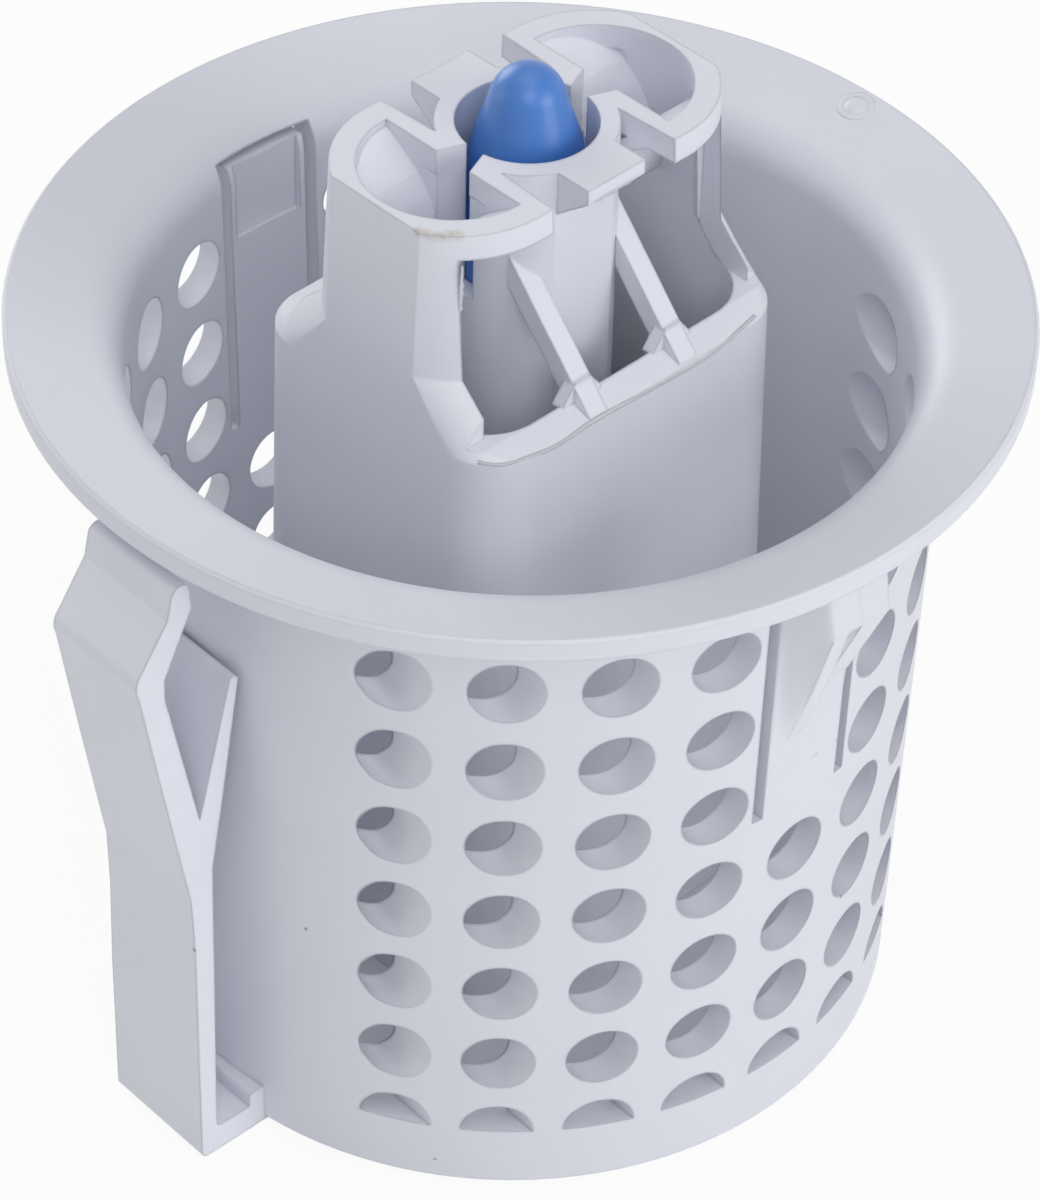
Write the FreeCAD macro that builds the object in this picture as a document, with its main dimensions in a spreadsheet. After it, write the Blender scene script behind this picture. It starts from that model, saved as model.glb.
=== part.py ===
import FreeCAD, Part
import math
import os
import Sketcher

# Lint filter: perforated basket with two spring clips and a lever, a column that stands in it,
# and a sprung plunger in the column's tube.
# Own frame: origin on the basket's axis at its lower edge, +Z up, +X through a clip, -Y at the lever.

doc = FreeCAD.newDocument("lint_filter")
sheet = doc.addObject("Spreadsheet::Sheet", "Sizes")

# All sizes in millimetres, angles in degrees.
SIZES = [
    # basket
    ("rim_radius", 50.0), ("rim_top", 82.9), ("rim_thick", 2.7), ("rim_edge", 0.35),
    ("flange_reach", 8.2), ("body_draft", 1.5), ("wall_low", 2.9), ("wall_top", 3.1),
    ("flare_drop", 6.7), ("flare_radius", 5.0), ("flare_angle", 77.0),
    ("under_radius", 1.9), ("under_angle", 74.0),
    ("floor_under", 5.0), ("floor_thick", 3.0), ("skirt_wall", 3.1), ("skirt_edge", 0.6),
    # holes in the basket wall
    ("hole_half", 3.65), ("hole_step", 14.55), ("hole_low_row", 18.2),
    ("hole_pitch", 10.13), ("hole_rows", 6), ("hole_short_rows", 3), ("hole_floor_row", 8.07),
    ("hole_columns", 4),
    # spring clips
    ("clip_half", 4.9), ("slot_width", 1.2), ("slit_drop", 3.7), ("slit_width", 0.9), ("slot_length", 33.7),
    ("nose_left", 2.6), ("nose_right", 4.9), ("nose_groove_left", 0.6), ("nose_groove_right", 1.2),
    ("nose_crest", 4.45), ("nose_top", 2.85), ("nose_root", 1.2), ("nose_drop", 7.8),
    ("crest_length", 15.5), ("ramp_length", 10.5),
    ("recess_half", 4.2), ("recess_length", 8.8), ("recess_depth", 0.4),
    # lever
    ("lever_width", 13.6), ("lever_bed", 1.8), ("lever_reach", 7.7), ("lever_bridge", 3.3),
    ("lever_thick", 2.0), ("knee_reach", 5.6), ("lever_drop", 5.7), ("knee_drop", 10.1),
    ("prong_drop", 14.6), ("fork_drop", 30.0), ("lever_taper", 1.4), ("taper_low", 18.2),
    # column
    ("column_turn", 2.0), ("column_x", 16.8), ("column_y", 20.4), ("column_corner", 6.0),
    ("column_spread", 1.0), ("shoulder_low", 81.2), ("shoulder_high", 87.5),
    ("upper_x", 12.4), ("upper_y", 20.3), ("upper_arc", 12.2), ("upper_flat", 5.9), ("upper_side", 9.6),
    ("column_top", 103.8), ("top_draw", 0.8), ("cap_thick", 2.7), ("wall_x", 2.9), ("wall_y", 1.9),
    ("window_near", 17.3), ("window_far", 18.3), ("ledge_rise", 1.05), ("ledge_end_x", 12.5),
    ("hollow_corner", 6.0), ("gusset_side", 1.6), ("gusset_rise", 2.4), ("gusset_inner", 12.9),
    ("gusset_outer", 14.3),
    ("tube_bore", 6.9), ("tube_wall", 1.9), ("flat_cut", 0.9), ("tube_low", 44.0),
    ("boss_half", 3.75), ("boss_end", 11.9), ("boss_end_thick", 1.6), ("boss_root_thick", 4.8),
    ("plate_half", 11.25), ("plate_mid", 7.7), ("plate_end", 8.4), ("plate_thick", 1.7), ("plate_low", 60.0),
    ("chamber_arc", 9.0), ("chamber_centre", 9.7), ("hump_shell", 1.8), ("chamber_depth", 12.8),
    ("key_bore_half", 0.9), ("key_far_half", 2.3), ("key_depth", 15.8),
    ("rib_near", 4.9), ("rib_far", 7.2), ("rib_slope", 1.14), ("rib_setback", 0.3), ("rib_step", 0.2),
    ("rib_depth", 3.6),
    # plunger and its spring
    ("pin_clearance", 0.05), ("collar_step", 1.3), ("pin_collar_thick", 3.0), ("pin_wall", 1.95),
    ("pin_neck", 5.35), ("pin_nose", 3.6), ("pin_above", 6.1), ("pin_dome", 2.9), ("pin_neck_drop", 8.4),
    ("pin_shoulder_drop", 16.9), ("pin_bore_drop", 11.9), ("pin_gap", 0.35),
    ("wire_radius", 0.5), ("coil_clearance", 0.5), ("coil_turns", 5), ("wire_sides", 8), ("wire_start", 22.5),
]

VALUE = {}
for row, (alias, number) in enumerate(SIZES, start=1):
    sheet.set("A%d" % row, alias)
    sheet.set("B%d" % row, str(number))
    sheet.setAlias("B%d" % row, alias)
    VALUE[alias] = float(number)
doc.recompute()


class Size:
    """A length that carries both its present value and the sheet expression it follows."""

    def __init__(self, value, text):
        self.value = value
        self.text = text

    def join(self, other, sign, turned=False):
        """The sum, difference, product or quotient with a second size or number."""
        if not isinstance(other, Size):
            other = Size(float(other), repr(float(other)))
        a, b = (other, self) if turned else (self, other)
        value = {"+": a.value + b.value, "-": a.value - b.value, "*": a.value * b.value}.get(sign)
        if value is None:
            value = a.value / b.value
        return Size(value, "(%s %s %s)" % (a.text, sign, b.text))

    def __add__(self, other):
        return self.join(other, "+")

    def __radd__(self, other):
        return self.join(other, "+", True)

    def __sub__(self, other):
        return self.join(other, "-")

    def __rsub__(self, other):
        return self.join(other, "-", True)

    def __mul__(self, other):
        return self.join(other, "*")

    def __rmul__(self, other):
        return self.join(other, "*", True)

    def __truediv__(self, other):
        return self.join(other, "/")

    def __neg__(self):
        return self.join(0.0, "-", True)


def size(alias):
    """The sheet value behind a word."""
    return Size(VALUE[alias], "Sizes." + alias)


def sine(angle):
    """Sine of a size in degrees."""
    return Size(math.sin(math.radians(angle.value)), "sin(%s * 1 deg)" % angle.text)


def cosine(angle):
    """Cosine of a size in degrees."""
    return Size(math.cos(math.radians(angle.value)), "cos(%s * 1 deg)" % angle.text)


def arctangent(ratio):
    """The angle in degrees that has this tangent."""
    return Size(math.degrees(math.atan(ratio.value)), "(atan(%s) / 1 deg)" % ratio.text)


def as_size(number):
    """A plain number turned into a size."""
    if isinstance(number, Size):
        return number
    return Size(float(number), repr(float(number)))


TURNS = {
    "XY": FreeCAD.Rotation(),
    "XZ": FreeCAD.Rotation(FreeCAD.Vector(1, 0, 0), 90),
    "YZ": FreeCAD.Rotation(FreeCAD.Vector(1, 1, 1), 120),
}


def new_sketch(name, plane, owner=None, height=None):
    """An empty sketch on a body's origin plane, or free with a bound height."""
    if owner is None:
        sketch = doc.addObject("Sketcher::SketchObject", name)
        sketch.Placement = FreeCAD.Placement(FreeCAD.Vector(), TURNS[plane])
        if height is not None:
            sketch.setExpression("Placement.Base.z", as_size(height).text)
        return sketch
    sketch = owner.newObject("Sketcher::SketchObject", name)
    role = plane + "_Plane"
    sketch.AttachmentSupport = [(f, "") for f in owner.Origin.OriginFeatures if f.Role == role]
    sketch.MapMode = "FlatFace"
    return sketch


def hold(sketch, kind, edge, point, number):
    """Hold one coordinate of a point by a bound distance from the sketch's origin."""
    number = as_size(number)
    index = sketch.addConstraint(Sketcher.Constraint(kind, -1, 1, edge, point, number.value))
    sketch.setExpression("Constraints[%d]" % index, number.text)


def bound(sketch, kind, edge, number):
    """A bound radius or length of one edge."""
    number = as_size(number)
    index = sketch.addConstraint(Sketcher.Constraint(kind, edge, number.value))
    sketch.setExpression("Constraints[%d]" % index, number.text)


def arc_between(start, end, radius, left):
    """Circle arc from start to end with its centre on the left or right of that direction."""
    chord = end - start
    half = chord.Length / 2.0
    rise = math.sqrt(max(radius * radius - half * half, 0.0))
    normal = FreeCAD.Vector(-chord.y, chord.x, 0).normalize()
    side = 1.0 if left else -1.0
    centre = (start + end) * 0.5 + normal * rise * side
    middle = centre - normal * radius * side
    return Part.Arc(start, middle, end)


def loop(sketch, corners):
    """A closed outline. Each corner is (x, y) or (x, y, radius, left) for an arc to the next one."""
    spots = [FreeCAD.Vector(as_size(c[0]).value, as_size(c[1]).value, 0) for c in corners]
    first = sketch.GeometryCount
    count = len(corners)
    starts = []
    for i, corner in enumerate(corners):
        start, end = spots[i], spots[(i + 1) % count]
        if len(corner) == 2:
            sketch.addGeometry(Part.LineSegment(start, end))
            starts.append(1)
            continue
        arc = arc_between(start, end, as_size(corner[2]).value, corner[3])
        sketch.addGeometry(arc)
        on_start = sketch.getPoint(first + i, 1).distanceToPoint(start) < 1e-6
        starts.append(1 if on_start else 2)
    for i in range(count):
        j = (i + 1) % count
        ends = (first + i, 3 - starts[i], first + j, starts[j])
        sketch.addConstraint(Sketcher.Constraint("Coincident", *ends))
    for i, corner in enumerate(corners):
        hold(sketch, "DistanceX", first + i, starts[i], corner[0])
        hold(sketch, "DistanceY", first + i, starts[i], corner[1])
        if len(corner) > 2:
            bound(sketch, "Radius", first + i, corner[2])


def mirrored(corners):
    """The same outline on the other side of the sketch's upright axis."""
    count = len(corners)
    turned = []
    for i in range(count):
        here = corners[-1 - i]
        before = corners[(count - 2 - i) % count]
        tail = before[2:] if len(before) > 2 else ()
        turned.append((-as_size(here[0]), here[1]) + tuple(tail))
    return turned


def root(number):
    """Square root of a size."""
    return Size(math.sqrt(number.value), "sqrt(%s)" % number.text)


def oval(sketch, x, y, narrow, tall):
    """An upright oval of four arcs, narrow and tall being its half width and half height."""
    span = root(narrow * narrow + tall * tall)
    end_radius = span * (span - (tall - narrow)) / (tall * 2)
    side_radius = span * (span + (tall - narrow)) / (narrow * 2)
    share = end_radius / (side_radius - end_radius)
    across = share * (side_radius - narrow)
    along = (tall - end_radius) * (share + 1)
    loop(sketch, [
        (x + across, y - along, side_radius, True),
        (x + across, y + along, end_radius, True),
        (x - across, y + along, side_radius, True),
        (x - across, y - along, end_radius, True),
    ])


def disc(sketch, x, y, radius):
    """A circle with bound centre and radius."""
    x, y, radius = [as_size(n) for n in (x, y, radius)]
    centre = FreeCAD.Vector(x.value, y.value, 0)
    edge = sketch.addGeometry(Part.Circle(centre, FreeCAD.Vector(0, 0, 1), radius.value))
    hold(sketch, "DistanceX", edge, 3, x)
    hold(sketch, "DistanceY", edge, 3, y)
    bound(sketch, "Radius", edge, radius)


def revolved(body, sketch, name):
    """A full turn of a body's sketch about the upright axis."""
    turn = body.newObject("PartDesign::Revolution", name)
    turn.Profile = sketch
    turn.ReferenceAxis = (sketch, ["V_Axis"])
    turn.Angle = 360.0
    doc.recompute()
    return turn


def turned(sketch, name, angle):
    """A solid of revolution of a free sketch about the upright axis."""
    solid = doc.addObject("Part::Revolution", name)
    solid.Source = sketch
    solid.Axis = FreeCAD.Vector(0, 0, 1)
    solid.Base = FreeCAD.Vector(0, 0, 0)
    solid.Angle = angle
    solid.Solid = True
    return solid


def flipped(source, name, normal):
    """The mirror image across an upright plane through the axis."""
    image = doc.addObject("Part::Mirroring", name)
    image.Source = source
    image.Base = FreeCAD.Vector(0, 0, 0)
    image.Normal = FreeCAD.Vector(*normal)
    return image


def pushed(sketch, name, forward, backward=0):
    """A solid drawn from a free sketch along its normal."""
    solid = doc.addObject("Part::Extrusion", name)
    solid.Base = sketch
    solid.DirMode = "Normal"
    solid.Solid = True
    solid.setExpression("LengthFwd", as_size(forward).text)
    solid.setExpression("LengthRev", as_size(backward).text)
    return solid


def lofted(sections, name):
    """A solid with straight rulings through a stack of sections."""
    solid = doc.addObject("Part::Loft", name)
    solid.Sections = sections
    solid.Solid = True
    solid.Ruled = True
    return solid


def fused(name, shapes):
    """One solid from several."""
    union = doc.addObject("Part::MultiFuse", name)
    union.Shapes = shapes
    union.Refine = True
    return union


def shared(name, shapes):
    """The space that several solids have in common."""
    common = doc.addObject("Part::MultiCommon", name)
    common.Shapes = shapes
    return common


def less(name, base, tool):
    """The first solid without the second."""
    cut = doc.addObject("Part::Cut", name)
    cut.Base = base
    cut.Tool = tool
    cut.Refine = True
    return cut


# Basket

rim_edge = size("rim_edge")
rim_under = size("rim_top") - size("rim_thick")
flare_start = size("rim_top") - size("flare_drop")
body_top = size("rim_radius") - size("flange_reach")
body_low = body_top - size("body_draft")
bore_low = body_low - size("wall_low")
bore_top = body_top - size("wall_top")
skirt_bore = body_low - size("skirt_wall")
floor_top = size("floor_under") + size("floor_thick")
body_slope = size("body_draft") / flare_start
body_at_floor = body_low + body_slope * floor_top
flare_x = bore_top + size("flare_radius") * (1 - cosine(size("flare_angle")))
flare_z = flare_start + size("flare_radius") * sine(size("flare_angle"))
under_x = body_top + size("under_radius") * (1 - cosine(size("under_angle")))
under_z = flare_start + size("under_radius") * sine(size("under_angle"))
slit_high = size("rim_top") - size("slit_drop")
slit_low = slit_high - size("slit_width")
slot_low = slit_high - size("slot_length")
slot_far = size("clip_half") + size("slot_width")

# A quarter of the wall carries every hole and slot once; two mirrors make the rest.
wall_sketch = new_sketch("wall_profile", "XZ")
loop(wall_sketch, [
    (bore_low, floor_top),
    (body_at_floor, floor_top),
    (body_top, flare_start, size("under_radius"), False),
    (under_x, under_z),
    (size("rim_radius") - rim_edge, rim_under),
    (size("rim_radius"), rim_under + rim_edge),
    (size("rim_radius"), size("rim_top") - rim_edge),
    (size("rim_radius") - rim_edge, size("rim_top")),
    (flare_x, flare_z, size("flare_radius"), True),
    (bore_top, flare_start),
])
wall = turned(wall_sketch, "wall_quarter", 90)

reach = size("rim_radius") * 1.2
cuts = []
for row in range(-1, int(VALUE["hole_rows"])):
    height = size("hole_floor_row") if row < 0 else size("hole_low_row") + size("hole_pitch") * row
    row_sketch = new_sketch("hole_row", "YZ")
    if row < VALUE["hole_short_rows"]:
        disc(row_sketch, 0, height, size("hole_half"))
    ring = body_low + body_slope * height
    for step in range(1, int(VALUE["hole_columns"]) + 1):
        angle = size("hole_step") * step
        across = ring * sine(angle)
        if step == 1:
            disc(row_sketch, across, height, size("hole_half") * cosine(angle))
        else:
            oval(row_sketch, across, height, size("hole_half") * cosine(angle), size("hole_half"))
    cuts.append(pushed(row_sketch, "row_cores", reach))

slot_sketch = new_sketch("clip_slots", "YZ")
loop(slot_sketch, [
    (-1, slit_low),
    (size("clip_half"), slit_low),
    (size("clip_half"), slot_low),
    (slot_far, slot_low),
    (slot_far, slit_high),
    (-1, slit_high),
])
cuts.append(pushed(slot_sketch, "slot_core", reach))
cores = doc.addObject("Part::Compound", "wall_cores")
cores.Links = cuts
quarter = less("wall_with_holes", wall, cores)
half_wall = fused("half_wall", [quarter, flipped(quarter, "quarter_mirror", (0, 1, 0))])
full_wall = fused("full_wall", [half_wall, flipped(half_wall, "half_mirror", (1, 0, 0))])

floor_profile = new_sketch("floor_profile", "XZ")
edge = size("skirt_edge")
loop(floor_profile, [
    (0, size("floor_under")),
    (skirt_bore, size("floor_under")),
    (skirt_bore, 0),
    (body_low - edge, 0),
    (body_low + body_slope * edge, edge),
    (body_at_floor, floor_top),
    (0, floor_top),
])
floor = turned(floor_profile, "floor_and_skirt", 360)

# Each nose: a head under the flange, a narrow crest and a ramp below it with a groove between them.
def nose_section(name, height, out, corners):
    """A section across the nose: each corner is (share of the way out, place along Y)."""
    sketch = new_sketch(name, "XY", None, height)
    surface = body_low + body_slope * height
    root_x = surface - size("nose_root")
    loop(sketch, [(root_x + (surface + out - root_x) * share, y) for share, y in corners])
    return sketch


crest_z = slit_low - size("nose_drop")
crest_out = size("nose_crest")
tab = size("clip_half") - 0.1
left_y = -size("nose_left")
groove_left = -size("nose_groove_left")
groove_right = size("nose_groove_right")
right_y = size("nose_right")
crest = lofted([
    nose_section("crest_foot", crest_z - size("crest_length"), 0.05,
                 [(0, -tab), (1, left_y), (1, groove_left), (0, 0.8)]),
    nose_section("crest_middle", crest_z - size("crest_length") / 2, crest_out * 0.55,
                 [(0, -tab), (1, left_y), (1, groove_left), (0, 1.4)]),
    nose_section("crest_top", crest_z, crest_out, [(0, -tab), (1, left_y), (1, groove_left), (0, 2.0)]),
], "nose_crest_ridge")
ramp = lofted([
    nose_section("ramp_foot_outline", crest_z - size("ramp_length"), 0.05,
                 [(0, groove_right), (1, groove_right + 0.4), (1, right_y), (0, right_y)]),
    nose_section("ramp_top_outline", crest_z, crest_out,
                 [(0, groove_right), (1, groove_right), (1, right_y), (0, right_y)]),
], "nose_ramp")
head = lofted([
    nose_section("head_low", crest_z, crest_out, [(0, left_y), (1, left_y), (1, right_y), (0, right_y)]),
    nose_section("head_high", slit_low, size("nose_top"),
                 [(0, left_y), (1, left_y), (1, right_y), (0, right_y)]),
], "nose_head")
nose = fused("nose", [head, crest, ramp])
noses = [nose, flipped(nose, "nose_mirror", (1, 0, 0))]

# The inside of each clip is set back above a faint ridge.
recess_sketch = new_sketch("clip_recess", "XZ")
recess_x = bore_top + size("recess_depth")
recess_low = slit_low - size("recess_length")
recess_near = bore_top - size("wall_top")
recess = [(recess_near, recess_low), (recess_x, recess_low), (recess_x, slit_low), (recess_near, slit_low)]
loop(recess_sketch, recess)
loop(recess_sketch, mirrored(recess))
recesses = pushed(recess_sketch, "clip_recesses", size("recess_half"), size("recess_half"))
clip_wall = less("wall_with_clips", full_wall, recesses)

lever_sketch = new_sketch("lever_profile", "YZ")
root_y = body_low - size("lever_bed")
face = body_low + size("lever_reach")
inside = face - size("lever_thick")
knee = face + size("knee_reach")
bridge = size("lever_bridge")
lever_top = size("rim_top") - size("lever_drop")
knee_z = lever_top - size("knee_drop")
prong_z = lever_top - size("prong_drop")
fork_z = lever_top - size("fork_drop")
loop(lever_sketch, [
    (-root_y, 0),
    (-root_y, size("floor_under")),
    (-root_y - 2.7, size("floor_under"), 0.5, True),
    (-root_y - 3.2, size("floor_under") - 0.5),
    (-root_y - 3.2, bridge),
    (-inside + 0.8, bridge, 0.8, False),
    (-inside, bridge + 0.8),
    (-inside + 0.45, fork_z - 7.3),
    (-inside + 1.9, fork_z + 1.0),
    (-inside + 4.2, prong_z, 0.6, True),
    (-inside + 3.2, prong_z + 0.4),
    (-inside - 0.9, fork_z),
    (-knee + 3.1, knee_z - 2.1),
    (-knee + 3.1, knee_z + 0.4),
    (-face + 0.95, lever_top - 2.6),
    (-face + 0.75, lever_top, 1.1, True),
    (-face - 1.3, lever_top),
    (-face - 1.9, lever_top - 2.7),
    (-knee + 0.1, knee_z + 2.2, 2.5, True),
    (-knee, knee_z),
    (-knee + 2.5, fork_z + 5.4),
    (-face - 0.3, fork_z - 10.2),
    (-face, fork_z - 17.2),
    (-face, 0.8, 0.8, True),
    (-face + 0.8, 0),
])
lever_block = pushed(lever_sketch, "lever_block", size("lever_width") / 2, size("lever_width") / 2)
taper_sketch = new_sketch("lever_taper_outline", "XZ")
half_width = size("lever_width") / 2
loop(taper_sketch, [
    (-half_width, size("taper_low")),
    (-half_width + size("lever_taper"), crest_z),
    (-half_width + size("lever_taper"), size("rim_top")),
    (-half_width - 2, size("rim_top")),
    (-half_width - 2, size("taper_low")),
])
taper = pushed(taper_sketch, "lever_taper_wedge", reach)
lever = less("lever", lever_block, taper)
foot = fused("foot_with_lever", [lever, floor])
basket = fused("basket", [clip_wall, foot] + noses)
basket.Label = "basket"

# Column


def section(name, height, half_x, half_y, flat_x, flat_y, radius):
    """A four-sided section with arcs at its corners: flat_x and flat_y are the half flats."""
    sketch = new_sketch(name, "XY", None, height)
    loop(sketch, [
        (-flat_x, -half_y), (flat_x, -half_y, radius, True),
        (half_x, -flat_y), (half_x, flat_y, radius, True),
        (flat_x, half_y), (-flat_x, half_y, radius, True),
        (-half_x, flat_y), (-half_x, -flat_y, radius, True),
    ])
    return sketch


def rounded(name, height, half_x, half_y, radius):
    """A rounded rectangle."""
    return section(name, height, half_x, half_y, half_x - radius, half_y - radius, radius)


corner = size("column_corner")
spread = size("column_spread")
draw = size("top_draw")
outer = lofted([
    rounded("foot_outline", floor_top, size("column_x") + spread, size("column_y") + spread, corner),
    rounded("shoulder_outline", size("shoulder_low"), size("column_x"), size("column_y"), corner),
    section("upper_outline", size("shoulder_high"), size("upper_x"), size("upper_y"),
            size("upper_flat"), size("upper_side"), size("upper_arc")),
    section("top_outline", size("column_top"), size("upper_x") - draw, size("upper_y") - draw,
            size("upper_flat"), size("upper_side") - draw * 0.3, size("upper_arc") - draw),
], "column_block")

wall_x = size("wall_x")
wall_y = size("wall_y")
inner_corner = size("hollow_corner")
hollow = lofted([
    rounded("foot_hollow", floor_top - 1, size("column_x") + spread - wall_x,
            size("column_y") + spread - wall_y, inner_corner),
    rounded("shoulder_hollow", size("shoulder_low") + size("ledge_rise"), size("column_x") - wall_x,
            size("column_y") - wall_y, inner_corner),
    section("upper_hollow", size("shoulder_high") - 1, size("upper_x") - wall_y, size("upper_y") - wall_y,
            size("upper_flat") - 1, size("upper_side"), size("upper_arc") - wall_y),
    section("top_hollow", size("column_top") - size("cap_thick"), size("upper_x") - wall_y - draw,
            size("upper_y") - wall_y - draw, size("upper_flat") - 1, size("upper_side") - draw * 0.3,
            size("upper_arc") - wall_y - draw),
], "column_hollow")

# Finger windows: cut along X above the ledge, and the top opened between the tube and the chambers.
window_sketch = new_sketch("window_profile", "XZ")
ledge_x = size("column_x") - wall_x
window = [
    (ledge_x - 8, size("shoulder_low") + size("ledge_rise")),
    (ledge_x, size("shoulder_low") + size("ledge_rise")),
    (size("column_x"), size("shoulder_low")),
    (size("column_x") + 3, size("shoulder_low") - size("ledge_rise")),
    (size("column_x") + 3, size("column_top") - size("cap_thick")),
    (ledge_x - 8, size("column_top") - size("cap_thick")),
]
loop(window_sketch, window)
loop(window_sketch, mirrored(window))
windows = pushed(window_sketch, "windows", size("window_near"), size("window_far"))
# The ledge runs on round the column's corners.
end_sketch = new_sketch("ledge_ends", "XZ")
end_x = size("ledge_end_x")
ledge_ends = [(end_x, size("shoulder_low") + size("ledge_rise"))] + window[1:5] + [
    (end_x, size("column_top") - size("cap_thick"))]
loop(end_sketch, ledge_ends)
loop(end_sketch, mirrored(ledge_ends))
ends = pushed(end_sketch, "ledge_end_space", size("column_y") * 1.2, size("column_y") * 1.2)
gap_sketch = new_sketch("top_gap", "XY", None, size("shoulder_high"))
gap_end = size("column_x") + 3.2
loop(gap_sketch, [
    (-gap_end, -size("plate_end")), (0, -size("plate_mid") + 0.3), (gap_end, -size("plate_end")),
    (gap_end, size("plate_end")), (0, size("plate_mid") - 0.3), (-gap_end, size("plate_end")),
])
past_top = size("column_top") + 1
gap = pushed(gap_sketch, "top_gap_space", past_top - size("shoulder_high"))
shell = less("column_shell", outer, fused("column_spaces", [hollow, windows, ends, gap]))

# Tube with flats, bosses, chamber plates, chamber floors and ribs.
tube_sketch = new_sketch("tube_outline", "XY", None, size("tube_low"))
tube_radius = size("tube_bore") + size("tube_wall")
tube_flat = tube_radius - size("flat_cut")
flat_y = root(tube_radius * tube_radius - tube_flat * tube_flat)
loop(tube_sketch, [
    (-tube_flat, -flat_y, tube_radius, True),
    (tube_flat, -flat_y),
    (tube_flat, flat_y, tube_radius, True),
    (-tube_flat, flat_y),
])
tube = pushed(tube_sketch, "tube", size("column_top") - size("tube_low"))
collar_sketch = new_sketch("tube_top", "XY", None, size("column_top") - size("cap_thick"))
disc(collar_sketch, 0, 0, tube_radius)
collar = pushed(collar_sketch, "tube_collar", size("cap_thick"))

boss_sketch = new_sketch("boss_profile", "XZ")
top = size("column_top")
loop(boss_sketch, [
    (-size("boss_end"), top), (-size("boss_end"), top - size("boss_end_thick")),
    (-tube_flat, top - size("boss_root_thick")), (tube_flat, top - size("boss_root_thick")),
    (size("boss_end"), top - size("boss_end_thick")), (size("boss_end"), top),
])
boss = pushed(boss_sketch, "bosses", size("boss_half"), size("boss_half"))

plates = []
for side in (-1, 1):
    sketch = new_sketch("plate_outline", "XY", None, size("plate_low"))
    mid = size("plate_mid") * side
    end = size("plate_end") * side
    thick = size("plate_thick") * side
    half = size("plate_half")
    loop(sketch, [
        (-half, end), (0, mid), (half, end),
        (half, end + thick), (0, mid + thick), (-half, end + thick),
    ])
    plates.append(pushed(sketch, "chamber_plate", size("column_top") - size("plate_low")))

hump_sketch = new_sketch("hump_profile", "XZ")
hump = [(0.0, 0.0), (1.6, 4.2), (3.0, 7.0), (4.5, 9.2), (6.9, 11.0), (8.6, 12.0), (10.6, 12.4)]
low = top - size("chamber_depth")
shell_thick = size("hump_shell")
right = [(as_size(x), low + z) for x, z in hump]
under = [(as_size(x), low + z - shell_thick) for x, z in hump]
loop(hump_sketch, [(-x, z) for x, z in reversed(right)] + right[1:]
     + list(reversed(under)) + [(-x, z) for x, z in under[1:]])
hump_slab = pushed(hump_sketch, "hump_slab", size("upper_y"), size("upper_y"))
plate_sketch = new_sketch("plate_trim", "XZ")
loop(plate_sketch, [(-x, z) for x, z in reversed(under)] + under[1:]
     + [(size("plate_half") + 1, under[-1][1]), (size("plate_half") + 1, top + 1),
        (-size("plate_half") - 1, top + 1), (-size("plate_half") - 1, under[-1][1])])
plate_zone = pushed(plate_sketch, "plate_zone", size("upper_y"), size("upper_y"))
plates = [shared("chamber_wall", [plate, plate_zone]) for plate in plates]
hump_room = shared("chamber_floors", [hump_slab, less("chamber_zone", outer, gap)])

ribs = []
rib_sketch = new_sketch("rib_profile", "XZ")
foot_x = size("column_x") - size("rib_setback")
foot_z = size("shoulder_low") + size("rib_step")
rib_top_x = size("rib_near")
rib_top_z = foot_z + size("rib_slope") * (foot_x - rib_top_x)
rib = [
    (rib_top_x, rib_top_z - size("rib_depth")), (foot_x - 1.2, foot_z - size("rib_depth") + 1.37),
    (foot_x, foot_z - 1.4), (foot_x, foot_z), (rib_top_x, rib_top_z),
]
loop(rib_sketch, rib)
loop(rib_sketch, mirrored(rib))
for side, near, far in (("left", "rib_near", "rib_far"), ("right", "rib_far", "rib_near")):
    sign = 1 if side == "left" else -1
    solid = pushed(rib_sketch, "ribs_" + side, size(far) * sign, -size(near) * sign)
    ribs.append(solid)

# Small gussets on both sides of every rib where it meets the ledge.
gussets = []
gusset_sketch = new_sketch("gusset_outline", "YZ")
ledge_z = size("shoulder_low") + size("ledge_rise") - 0.3
rise = ledge_z + size("gusset_rise")
side = size("gusset_side")
gusset = [
    (size("rib_near") - side, ledge_z), (size("rib_far") + side, ledge_z),
    (size("rib_far") - 0.2, rise), (size("rib_near") + 0.2, rise),
]
loop(gusset_sketch, gusset)
loop(gusset_sketch, mirrored(gusset))
inner = size("gusset_inner")
outside = size("gusset_outer")
gussets.append(pushed(gusset_sketch, "gussets_front", outside, -inner))
gussets.append(pushed(gusset_sketch, "gussets_back", -inner, outside))

full = fused("column_full", [shell, tube, collar, boss, hump_room] + plates + ribs + gussets)

# Chambers above the humps, the tube bore and the two key slots.
room_sketch = new_sketch("room_outline", "XY", None, low)
for side in (-1, 1):
    arc = size("chamber_arc")
    centre_y = size("chamber_centre") * side
    if side > 0:
        loop(room_sketch, [(-arc, centre_y), (arc, centre_y, arc, True), (0, centre_y + arc, arc, True)])
    else:
        loop(room_sketch, [(arc, centre_y), (-arc, centre_y, arc, True), (0, centre_y - arc, arc, True)])
room_prism = pushed(room_sketch, "room_prism", past_top - low)
above_sketch = new_sketch("above_humps", "XZ")
room_end = right[-1][0]
loop(above_sketch, [(-x, z) for x, z in reversed(right)] + right[1:]
     + [(room_end, past_top), (-room_end, past_top)])
above = pushed(above_sketch, "above_hump_space", size("upper_y"), size("upper_y"))
rooms = shared("chamber_space", [room_prism, above])
bore_sketch = new_sketch("bore_outline", "XY", None, size("tube_low") - 1)
disc(bore_sketch, 0, 0, size("tube_bore"))
bore = pushed(bore_sketch, "bore_space", past_top - size("tube_low") + 1)
key_sketch = new_sketch("key_outline", "XY", None, top - size("key_depth"))
near_y = size("tube_bore") - 0.6
far_y = size("plate_mid") + size("plate_thick") + 0.4
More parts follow.
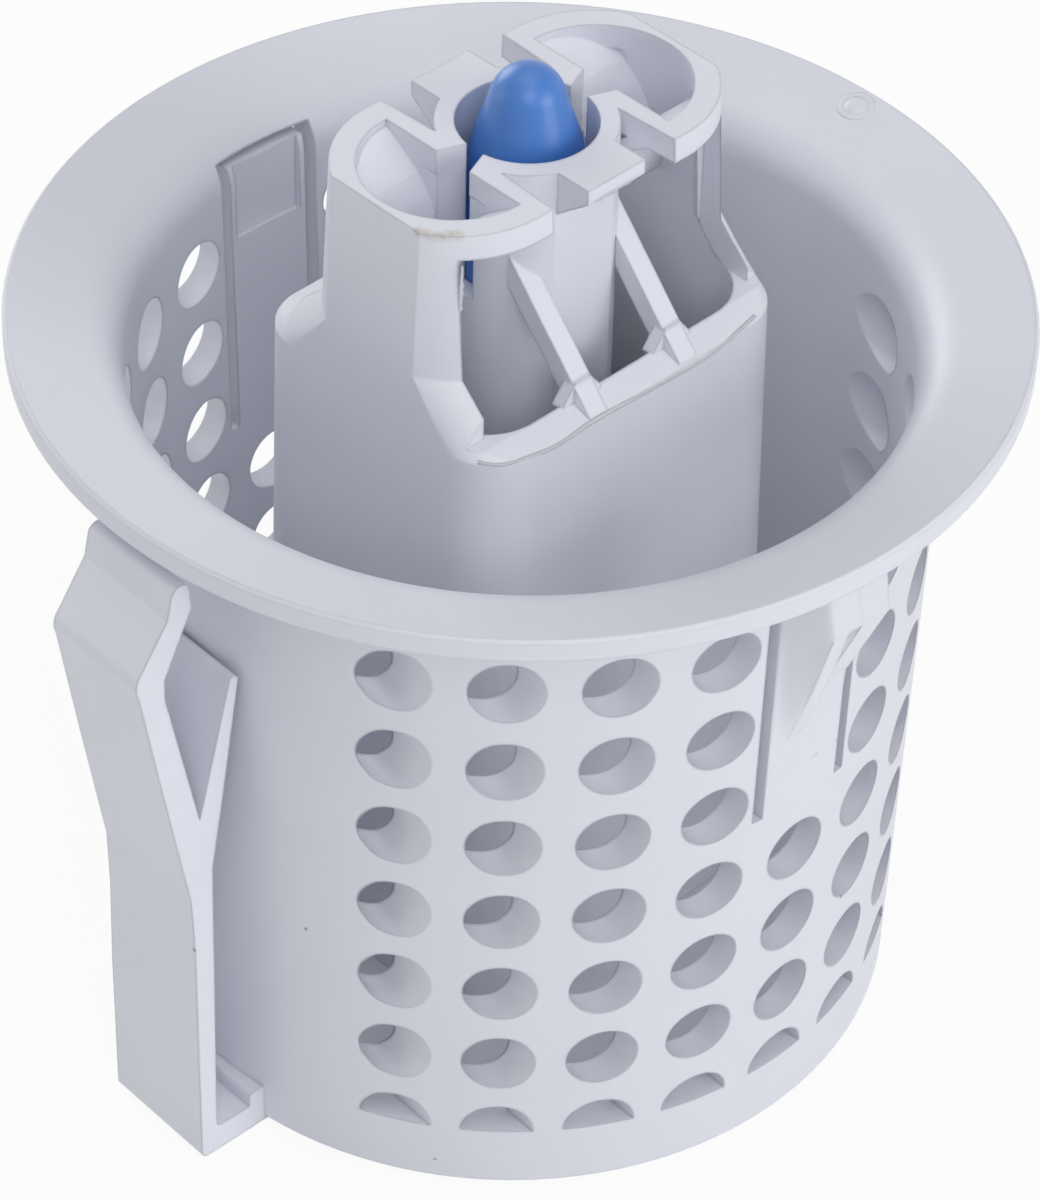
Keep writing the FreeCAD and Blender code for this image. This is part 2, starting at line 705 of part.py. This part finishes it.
loop(key_sketch, [
    (-size("key_far_half"), -far_y), (size("key_far_half"), -far_y), (size("key_bore_half"), -near_y),
    (size("key_bore_half"), near_y), (size("key_far_half"), far_y), (-size("key_far_half"), far_y),
    (-size("key_bore_half"), near_y), (-size("key_bore_half"), -near_y),
])
keys = pushed(key_sketch, "key_space", size("key_depth") + 1)
column = less("column", full, fused("column_cuts", [rooms, bore, keys]))
column.Label = "column"
column.Placement = FreeCAD.Placement(FreeCAD.Vector(), FreeCAD.Rotation(FreeCAD.Vector(0, 0, 1), 2.0))
column.setExpression("Placement.Rotation.Angle", "Sizes.column_turn * 1 deg")

# Plunger and its spring

lock_pin = doc.addObject("PartDesign::Body", "lock_pin")
lock_pin.Label = "lock_pin"
pin_low = size("tube_low") - size("pin_gap") - size("pin_collar_thick")
pin_stop = size("tube_low") - size("pin_gap")
pin_radius = size("tube_bore") - size("pin_clearance")
pin_bore = pin_radius - size("pin_wall")
collar_radius = size("tube_bore") + size("collar_step")
apex = size("column_top") + size("pin_above")
bore_end = apex - size("pin_bore_drop")
dome_high = size("pin_dome")
dome_radius = (size("pin_nose") * size("pin_nose") + dome_high * dome_high) / (dome_high * 2)
pin_sketch = new_sketch("pin_profile", "XZ", lock_pin)
loop(pin_sketch, [
    (pin_bore, pin_low),
    (collar_radius, pin_low),
    (collar_radius, pin_stop),
    (pin_radius, pin_stop),
    (pin_radius, apex - size("pin_shoulder_drop")),
    (size("pin_neck"), apex - size("pin_neck_drop")),
    (size("pin_nose"), apex - dome_high, dome_radius, True),
    (0, apex),
    (0, bore_end),
    (pin_bore - 1.5, bore_end),
    (pin_bore, bore_end - 3),
])
revolved(lock_pin, pin_sketch, "pin_turn")

# The coil is a chain of half turns, each tilted by the lead, that meet end to end.
wire = size("wire_radius")
coil_radius = size("tube_bore") - size("coil_clearance")
coil_rise = (pin_low - floor_top - wire * 2 - 0.1) / size("coil_turns")
lead = arctangent(coil_rise / (coil_radius * 4))
coil_middle = coil_radius / cosine(lead)
wire_sketch = new_sketch("wire_section", "XZ")
wire_corners = []
for step in range(int(VALUE["wire_sides"])):
    angle = size("wire_start") + as_size(360) / size("wire_sides") * step
    wire_corners.append((coil_middle + wire * cosine(angle), wire * sine(angle)))
loop(wire_sketch, wire_corners)
half_ring = turned(wire_sketch, "half_ring", 180)
halves = []
for half in range(int(VALUE["coil_turns"]) * 2):
    piece = doc.addObject("Part::Compound", "coil_half")
    piece.Links = [half_ring]
    tilt = FreeCAD.Rotation(FreeCAD.Vector(0, 1, 0), lead.value)
    piece.Placement = FreeCAD.Placement(FreeCAD.Vector(), tilt)
    piece.setExpression("Placement.Rotation.Angle", "%s * 1 deg" % lead.text)
    piece.setExpression("Placement.Base.z", (floor_top + wire + coil_rise * (half + 0.5) / 2).text)
    if half % 2:
        other = doc.addObject("Part::Compound", "coil_other_half")
        other.Links = [piece]
        other.Placement = FreeCAD.Placement(FreeCAD.Vector(), FreeCAD.Rotation(FreeCAD.Vector(0, 0, 1), 180))
        piece = other
    halves.append(piece)
spring = fused("pin_spring", halves)
spring.Label = "pin_spring"

doc.recompute()

for item in doc.Objects:
    if "Invalid" in item.State or "Error" in item.State:
        raise RuntimeError("feature not built: " + item.Name)

os.makedirs("parts", exist_ok=True)
for node in (basket, column, lock_pin, spring):
    if node.Shape.isNull() or not node.Shape.isValid():
        raise RuntimeError("bad shape: " + node.Label)
    node.Shape.exportStep("parts/%s.step" % node.Label)
    box = node.Shape.BoundBox
    print(node.Label, len(node.Shape.Solids), round(node.Shape.Volume, 1),
          [round(v, 2) for v in (box.XMin, box.YMin, box.ZMin, box.XMax, box.YMax, box.ZMax)])
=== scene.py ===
import bpy
import math
import random
from mathutils import Matrix, Vector


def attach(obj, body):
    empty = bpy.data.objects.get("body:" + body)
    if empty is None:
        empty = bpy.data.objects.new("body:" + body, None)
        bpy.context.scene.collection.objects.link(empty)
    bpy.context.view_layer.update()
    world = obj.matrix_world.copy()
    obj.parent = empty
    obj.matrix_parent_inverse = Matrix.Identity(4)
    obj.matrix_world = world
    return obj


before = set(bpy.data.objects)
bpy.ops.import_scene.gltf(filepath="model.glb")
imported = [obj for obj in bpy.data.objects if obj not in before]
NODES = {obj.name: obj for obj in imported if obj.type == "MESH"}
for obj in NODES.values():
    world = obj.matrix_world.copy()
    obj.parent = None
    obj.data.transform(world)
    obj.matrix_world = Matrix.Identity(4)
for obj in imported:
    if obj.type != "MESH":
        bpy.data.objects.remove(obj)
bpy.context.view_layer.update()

MM = 0.001


# The photograph's camera, solved from the rim, the foot and the column.

LONG_SIDE = 1200.0
SHORT_SIDE = 1040.0
FOCAL = 4871.8
CENTRE = (668.7, 561.8)
ROLL = math.radians(3.0)
EYE = Vector((271.3, -254.1, 373.3)) * MM
LOOK = Vector((-0.5285, 0.5378, -0.6568)).normalized()
LEVEL = LOOK.cross(Vector((0, 0, 1))).normalized()
UPRIGHT = LEVEL.cross(LOOK)
RIGHT = LEVEL * math.cos(ROLL) + UPRIGHT * math.sin(ROLL)
UP = UPRIGHT * math.cos(ROLL) - LEVEL * math.sin(ROLL)


def photo_camera():
    """The camera that frames the part as the photograph does."""
    data = bpy.data.cameras.new("photo_camera")
    data.sensor_width = 36.0
    data.lens = FOCAL * data.sensor_width / LONG_SIDE
    data.shift_x = (SHORT_SIDE / 2 - CENTRE[0]) / LONG_SIDE
    data.shift_y = (CENTRE[1] - LONG_SIDE / 2) / LONG_SIDE
    data.clip_start = 0.01
    data.clip_end = 20.0
    camera = bpy.data.objects.new("photo_camera", data)
    bpy.context.scene.collection.objects.link(camera)
    turn = Matrix((RIGHT, UP, -LOOK)).transposed().to_4x4()
    camera.matrix_world = Matrix.Translation(EYE) @ turn
    bpy.context.scene.camera = camera


def on_part(pixel, nodes=("basket", "column")):
    """The place and facing on the part that the photograph shows at a pixel."""
    ray = LOOK * FOCAL + RIGHT * (pixel[0] - CENTRE[0]) - UP * (pixel[1] - CENTRE[1])
    ray.normalize()
    best = None
    for node in nodes:
        hit, place, facing, _ = NODES[node].ray_cast(EYE, ray)
        if hit and (best is None or (place - EYE).length < (best[0] - EYE).length):
            best = (place, facing)
    return best


# Materials


def linear(r, g, b):
    """Scene colour from a display colour of 0 to 255."""
    def one(v):
        v /= 255.0
        return v / 12.92 if v <= 0.04045 else ((v + 0.055) / 1.055) ** 2.4
    return (one(r), one(g), one(b), 1.0)


def new_material(name):
    """An empty node material with its shader."""
    mat = bpy.data.materials.new(name)
    mat.use_nodes = True
    tree = mat.node_tree
    tree.nodes.clear()
    out = tree.nodes.new("ShaderNodeOutputMaterial")
    shader = tree.nodes.new("ShaderNodeBsdfPrincipled")
    tree.links.new(shader.outputs[0], out.inputs[0])
    return mat, tree, shader


def object_point(tree):
    """The piece's own coordinates."""
    return tree.nodes.new("ShaderNodeTexCoord").outputs["Object"]


def noise(tree, scale, detail=3.0):
    """Noise on the piece's own coordinates."""
    node = tree.nodes.new("ShaderNodeTexNoise")
    node.inputs["Scale"].default_value = scale
    node.inputs["Detail"].default_value = detail
    tree.links.new(object_point(tree), node.inputs["Vector"])
    return node.outputs["Fac"]


def ramp(tree, source, stops):
    """Colour ramp through (position, colour) stops."""
    node = tree.nodes.new("ShaderNodeValToRGB")
    band = node.color_ramp
    while len(band.elements) < len(stops):
        band.elements.new(1.0)
    for element, (place, colour) in zip(band.elements, stops):
        element.position = place
        element.color = colour
    tree.links.new(source, node.inputs[0])
    return node.outputs[0]


def arithmetic(tree, operation, first, second):
    """One sum on two values, the second a number or a socket."""
    node = tree.nodes.new("ShaderNodeMath")
    node.operation = operation
    tree.links.new(first, node.inputs[0])
    if isinstance(second, float):
        node.inputs[1].default_value = second
    else:
        tree.links.new(second, node.inputs[1])
    return node.outputs[0]


def spot(tree, place, radius):
    """One at a place, fading to nothing at a radius."""
    gap = tree.nodes.new("ShaderNodeVectorMath")
    gap.operation = "DISTANCE"
    tree.links.new(object_point(tree), gap.inputs[0])
    gap.inputs[1].default_value = place
    fade = tree.nodes.new("ShaderNodeMapRange")
    fade.inputs["From Min"].default_value = radius
    fade.inputs["From Max"].default_value = radius * 0.3
    tree.links.new(gap.outputs["Value"], fade.inputs["Value"])
    return fade.outputs[0]


def tinted(tree, base, mask, colour):
    """The base colour with another laid over it where the mask is up."""
    node = tree.nodes.new("ShaderNodeMix")
    node.data_type = "RGBA"
    tree.links.new(mask, node.inputs["Factor"])
    tree.links.new(base, node.inputs["A"])
    node.inputs["B"].default_value = colour
    return node.outputs["Result"]


CLOUD_SCALE = 55.0
CLOUD_SHADE = 0.975
GRAIN_SCALE = 1800.0
HAZE_SCALE = 180.0
HAZE = 0.05
SKIN_SCALE = 900.0


def plastic(name, colour, roughness, stains=(), edge=0.0004, glow=0.0):
    """Moulded plastic: faint clouds, a fine skin, softened edges and small stains.

    Each stain is (places, radius, colour, strength).
    """
    mat, tree, shader = new_material(name)
    deep = tuple(v * CLOUD_SHADE for v in colour[:3]) + (1.0,)
    tint = ramp(tree, noise(tree, CLOUD_SCALE, 4.0), [(0.3, deep), (0.7, colour)])
    for places, radius, stain, strength in stains:
        mask = None
        for place in places:
            here = spot(tree, place, radius)
            mask = here if mask is None else arithmetic(tree, "MAXIMUM", mask, here)
        grain = arithmetic(tree, "MULTIPLY", noise(tree, GRAIN_SCALE, 2.0), strength * 2.0)
        tint = tinted(tree, tint, arithmetic(tree, "MULTIPLY", mask, grain), stain)
    tree.links.new(tint, shader.inputs["Base Color"])
    haze = tree.nodes.new("ShaderNodeMapRange")
    haze.inputs["To Min"].default_value = roughness - HAZE
    haze.inputs["To Max"].default_value = roughness + HAZE
    tree.links.new(noise(tree, HAZE_SCALE, 3.0), haze.inputs["Value"])
    tree.links.new(haze.outputs[0], shader.inputs["Roughness"])
    if glow:
        shader.inputs["Subsurface Weight"].default_value = glow
        shader.inputs["Subsurface Radius"].default_value = (1.0, 0.95, 1.0)
        shader.inputs["Subsurface Scale"].default_value = 0.003
    soft = tree.nodes.new("ShaderNodeBevel")
    soft.samples = 3
    soft.inputs["Radius"].default_value = edge
    relief = tree.nodes.new("ShaderNodeBump")
    relief.inputs["Strength"].default_value = 0.08
    relief.inputs["Distance"].default_value = 0.0002
    tree.links.new(noise(tree, SKIN_SCALE, 2.0), relief.inputs["Height"])
    tree.links.new(soft.outputs[0], relief.inputs["Normal"])
    tree.links.new(relief.outputs[0], shader.inputs["Normal"])
    return mat


def places_at(*pixels):
    """Where the photograph shows marks."""
    return [tuple(on_part(pixel)[0]) for pixel in pixels]


bpy.context.view_layer.update()
BROWN = linear(168, 150, 112)
GREY = linear(110, 112, 122)
# Specks on the wall and stains on the chambers' edges, where the photograph shows them.
SPECKS = (places_at((435, 1159), (194, 950), (306, 929), (841, 897)), 0.00028, GREY, 0.8)
FRONT_STAIN = places_at((418, 231), (426, 233), (434, 235), (442, 235), (450, 234), (458, 234))
BACK_STAIN = places_at((698, 46), (703, 50), (708, 56), (714, 62), (719, 68))
WHITE = linear(220, 222, 231)
SHELL = plastic("shell_plastic", WHITE, 0.42, [SPECKS])
COLUMN = plastic("column_plastic", linear(225, 227, 236), 0.42, [
    (FRONT_STAIN, 0.0008, BROWN, 0.42),
    (BACK_STAIN, 0.0007, BROWN, 0.3),
])
FLASH = plastic("flash_plastic", WHITE, 0.4, edge=0.0001, glow=0.6)
BLUE = plastic("plunger_plastic", linear(70, 124, 200), 0.33, glow=0.15)
STEEL, tree, shader = new_material("spring_steel")
steel = ramp(tree, noise(tree, 300.0), [(0.3, linear(130, 130, 133)), (0.7, linear(152, 152, 154))])
tree.links.new(steel, shader.inputs["Base Color"])
shader.inputs["Metallic"].default_value = 1.0
shader.inputs["Roughness"].default_value = 0.3

for node, mat in (("basket", SHELL), ("column", COLUMN), ("lock_pin", BLUE), ("pin_spring", STEEL)):
    mesh = NODES[node].data
    mesh.materials.clear()
    mesh.materials.append(mat)


# Fine forms of the mouldings


def add_mesh(name, points, faces, material, smooth=True):
    """A piece of the mouldings from its points and faces."""
    mesh = bpy.data.meshes.new(name)
    mesh.from_pydata([Vector(p) * MM for p in points], [], faces)
    mesh.validate()
    mesh.update()
    for face in mesh.polygons:
        face.use_smooth = smooth
    mesh.materials.append(material)
    piece = bpy.data.objects.new(name, mesh)
    bpy.context.scene.collection.objects.link(piece)
    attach(piece, "basket_body")
    return piece


# The clips' noses. The wall's radius at the foot, its draft, and the nose's reach up the wall, in mm.
WALL_LOW = 40.3
WALL_SLOPE = 1.5 / 76.2
NOSE_LOW = 50.0
NOSE_TOP = 78.25
CLIP_EDGE = 4.88


def between(value, stops):
    """The height at a value, on straight lines through (place, height) stops."""
    for (a, low), (b, high) in zip(stops, stops[1:]):
        if value <= b:
            return low + (high - low) * max(0.0, value - a) / (b - a)
    return stops[-1][1]


def rise(value, start, run):
    """From 0 at the start to 1 after the run, level on both sides."""
    return max(0.0, min(1.0, (value - start) / run))


# Height up the wall and reach of the crest and of the ramp beside it, in mm.
CREST_LINE = [(50.0, 0.0), (55.0, 0.3), (62.75, 2.65), (70.5, 4.6), (78.3, 3.0)]
RAMP_LINE = [(57.5, 0.0), (60.0, 0.25), (70.5, 4.6), (78.3, 3.0)]
NOSE_BLEND = 3.2
NOSE_SKIN = 0.34


def nose_height(y, z):
    """How far a clip's nose stands out: a crest, a groove and a ramp that meet in the head."""
    crest = between(z, CREST_LINE)
    left = rise(y, -4.9, 2.3) ** 1.25
    right = rise(-y, -2.2, 2.8) ** 1.2
    ramp_foot = between(z, RAMP_LINE) * rise(y, 0.5, 0.6)
    head = rise(z, 68.6, 1.8) * left
    parts = [crest * left * right, ramp_foot, crest * head]
    mean = sum(math.exp(NOSE_BLEND * part) for part in parts) / len(parts)
    return math.log(mean) / NOSE_BLEND + NOSE_SKIN * min(1.0, max(parts) / 1.2)


def nose_skin(name, side):
    """The smooth skin of a clip's nose, closed behind inside the wall."""
    across, along = 40, 64
    points, faces = [], []
    for j in range(along + 1):
        z = NOSE_LOW + (NOSE_TOP - NOSE_LOW) * j / along
        radius = WALL_LOW + WALL_SLOPE * z
        for i in range(across + 1):
            y = -CLIP_EDGE + 2 * CLIP_EDGE * i / across
            wall = math.sqrt((radius - 0.03) ** 2 - y * y)
            points.append((side * max(wall, radius - 0.25 + nose_height(y, z)), y, z))
    front = len(points)
    for j in range(along + 1):
        z = NOSE_LOW + (NOSE_TOP - NOSE_LOW) * j / along
        for i in range(across + 1):
            y = -CLIP_EDGE + 2 * CLIP_EDGE * i / across
            points.append((side * (WALL_LOW - 0.6), y, z))

    def quad(a, b, c, d):
        faces.append((a, b, c, d) if side > 0 else (d, c, b, a))

    row = across + 1
    for j in range(along):
        for i in range(across):
            a = j * row + i
            quad(a, a + 1, a + row + 1, a + row)
            quad(front + a + row, front + a + row + 1, front + a + 1, front + a)
        a, b = j * row, j * row + across
        quad(a + row, front + a + row, front + a, a)
        quad(b, front + b, front + b + row, b + row)
    for i in range(across):
        a, b = i, along * row + i
        quad(a, front + a, front + a + 1, a + 1)
        quad(b + 1, front + b + 1, front + b, b)
    return add_mesh(name, points, faces, SHELL)


nose_skin("clip_nose_right", 1)
nose_skin("clip_nose_left", -1)


def bead(name, pixels, radius, sink):
    """A fine raised line on the surface, through the places of the pixels."""
    data = bpy.data.curves.new(name, "CURVE")
    data.dimensions = "3D"
    data.bevel_depth = radius * MM
    data.bevel_resolution = 2
    data.resolution_u = 6
    data.use_fill_caps = True
    spline = data.splines.new("NURBS")
    spline.points.add(len(pixels) - 1)
    for point, pixel in zip(spline.points, pixels):
        place, facing = on_part(pixel)
        point.co = (*(place - facing * radius * sink * MM), 1.0)
    spline.order_u = 3
    spline.use_endpoint_u = True
    data.materials.append(FLASH)
    piece = bpy.data.objects.new(name, data)
    bpy.context.scene.collection.objects.link(piece)
    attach(piece, "basket_body")
    return piece


# The ledge's outer edge in the photograph, in pixels.
LEDGE_OUTER = [(478, 462), (494, 466), (512, 463), (530, 457), (553, 448), (572, 436), (589, 423),
               (622, 405), (655, 387), (680, 373), (706, 358), (732, 337), (755, 316)]
bead("ledge_bead_outer", LEDGE_OUTER, 0.22, 0.2)

# The column stands turned in the basket, so its flash is placed in its own frame, in mm.
COLUMN_TURN = math.radians(2.0)


def in_row(x, y, z):
    """A place of the column's own frame, in the part's frame."""
    return (x * math.cos(COLUMN_TURN) - y * math.sin(COLUMN_TURN),
            x * math.sin(COLUMN_TURN) + y * math.cos(COLUMN_TURN), z)


def fringe(name, path, down, depth, seed, teeth=26, thick=0.22):
    """Ragged flash along an edge of the column.

    The path is the edge's line, down is the way that the flash hangs and depth how far at most.
    """
    draw = random.Random(seed)
    spots = [Vector(p) for p in path]
    steps = [(b - a).length for a, b in zip(spots, spots[1:])]
    total = sum(steps)
    points, faces = [], []
    down = Vector(down)
    for k in range(teeth + 1):
        far = total * k / teeth
        for start, end, step in zip(spots, spots[1:], steps):
            if far <= step + 1e-9:
                here = start.lerp(end, far / step)
                along = (end - start).normalized()
                break
            far -= step
        out = along.cross(down).normalized() * thick / 2
        fade = min(1.0, 4.0 * min(k, teeth - k) / teeth)
        tip = down * depth * (0.25 + 0.75 * draw.random()) * fade
        for corner in (here + out - down * 0.15, here + out * 0.3 + tip,
                       here - out * 0.3 + tip, here - out - down * 0.15):
            points.append(in_row(*corner))
    for k in range(teeth):
        a = 4 * k
        for i in range(4):
            j = (i + 1) % 4
            faces.append((a + i, a + j, a + 4 + j, a + 4 + i))
    faces.append((3, 2, 1, 0))
    faces.append((4 * teeth, 4 * teeth + 1, 4 * teeth + 2, 4 * teeth + 3))
    return add_mesh(name, points, faces, FLASH, smooth=False)


fringe("back_cap_flash", [(10.9, 8.5, 101.2), (10.75, 11.0, 101.2), (10.5, 13.3, 101.2), (9.5, 16.6, 101.2)],
       (0, 0, -1), 0.9, 3)
fringe("boss_flash", [(11.8, -3.6, 102.3), (11.8, 3.6, 102.3)], (0, 0, -1), 0.55, 5, teeth=20)
fringe("window_flash", [(9.4, -17.25, 100.8), (9.0, -17.25, 96.0), (8.7, -17.25, 91.0), (9.3, -17.25, 87.2)],
       (0.35, 0.94, 0), 0.4, 8, teeth=34)


def gate_mark(name, pixel, rings, sides=36):
    """A round moulding mark: rings are (radius, height over the surface)."""
    place, facing = on_part(pixel, ("basket",))
    across = facing.orthogonal().normalized()
    other = facing.cross(across)
    middle = place / MM
    points = [middle + facing * rings[0][1]]
    faces = []
    for radius, height in rings[1:]:
        for k in range(sides):
            turn = 2 * math.pi * k / sides
            reach = across * math.cos(turn) + other * math.sin(turn)
            points.append(middle + reach * radius + facing * height)
    for k in range(sides):
        after = (k + 1) % sides
        faces.append((0, 1 + k, 1 + after))
        for ring in range(len(rings) - 2):
            a = 1 + ring * sides
            faces.append((a + k, a + sides + k, a + sides + after, a + after))
    last = 1 + (len(rings) - 2) * sides
    faces.append(tuple(reversed(range(last, last + sides))))
    return add_mesh(name, points, faces, SHELL)


# A low button in the middle, a shallow ring round it and a sunk outer edge, in mm.
gate_mark("gate_mark", (856, 106), [
    (0, 0.3), (0.5, 0.31), (0.85, 0.27), (1.05, 0.1), (1.25, 0.03),
    (1.5, 0.1), (1.7, 0.11), (1.95, 0.03), (2.15, -0.12),
])


# Floor, light and camera

WORLD_COLOUR = (0.97, 0.98, 1.0, 1)
WORLD_STRENGTH = 0.28
FLOOR_WHITE = 0.9
FLOOR_SIZE = 6.0
FLOOR_DROP = 0.0002


def white_to_the_eye(tree, shader, out, share):
    """Mixes plain white into what the camera and reflections see, by a share of 0 to 1."""
    path = tree.nodes.new("ShaderNodeLightPath")
    seen = arithmetic(tree, "MAXIMUM", path.outputs["Is Camera Ray"], path.outputs["Is Glossy Ray"])
    seen = arithmetic(tree, "MAXIMUM", seen, path.outputs["Is Transmission Ray"])
    glow = tree.nodes.new("ShaderNodeEmission" if out.bl_idname == "ShaderNodeOutputMaterial"
                          else "ShaderNodeBackground")
    glow.inputs["Color"].default_value = (1, 1, 1, 1)
    glow.inputs["Strength"].default_value = 1.0
    mix = tree.nodes.new("ShaderNodeMixShader")
    tree.links.new(arithmetic(tree, "MULTIPLY", seen, share), mix.inputs[0])
    tree.links.new(shader.outputs[0], mix.inputs[1])
    tree.links.new(glow.outputs[0], mix.inputs[2])
    tree.links.new(mix.outputs[0], out.inputs[0])


mat, tree, shader = new_material("floor_card")
card = ramp(tree, noise(tree, 3.0, 2.0), [(0.0, (0.9, 0.9, 0.9, 1)), (1.0, (0.93, 0.93, 0.93, 1))])
tree.links.new(card, shader.inputs["Base Color"])
shader.inputs["Roughness"].default_value = 0.9
white_to_the_eye(tree, shader, tree.nodes["Material Output"], FLOOR_WHITE)
bpy.ops.mesh.primitive_plane_add(size=FLOOR_SIZE, location=(0, 0, -FLOOR_DROP))
floor = bpy.context.object
floor.name = "floor"
floor.data.materials.append(mat)


def area_light(name, place, size, power):
    """A square soft light aimed at the part."""
    data = bpy.data.lights.new(name, "AREA")
    data.shape = "SQUARE"
    data.size = size
    data.energy = power
    lamp = bpy.data.objects.new(name, data)
    bpy.context.scene.collection.objects.link(lamp)
    lamp.location = place
    aim = Vector((0.0, 0.0, 0.05)) - Vector(place)
    lamp.rotation_euler = aim.to_track_quat("-Z", "Y").to_euler()


area_light("top_light", (0.0, 0.0, 1.1), 0.9, 3.0)
area_light("right_light", (0.95, 0.3, 0.3), 0.6, 3.9)
area_light("front_light", (0.6, -0.45, 0.75), 0.6, 2.7)
area_light("left_light", (-0.85, -0.85, 0.3), 0.6, 1.1)
area_light("far_left_light", (-1.0, 0.1, 0.4), 0.6, 3.9)

world = bpy.data.worlds.new("studio")
world.use_nodes = True
tree = world.node_tree
tree.nodes["Background"].inputs[0].default_value = WORLD_COLOUR
tree.nodes["Background"].inputs[1].default_value = WORLD_STRENGTH
white_to_the_eye(tree, tree.nodes["Background"], tree.nodes["World Output"], 1.0)
bpy.context.scene.world = world
bpy.context.scene.view_settings.view_transform = "Standard"
photo_camera()
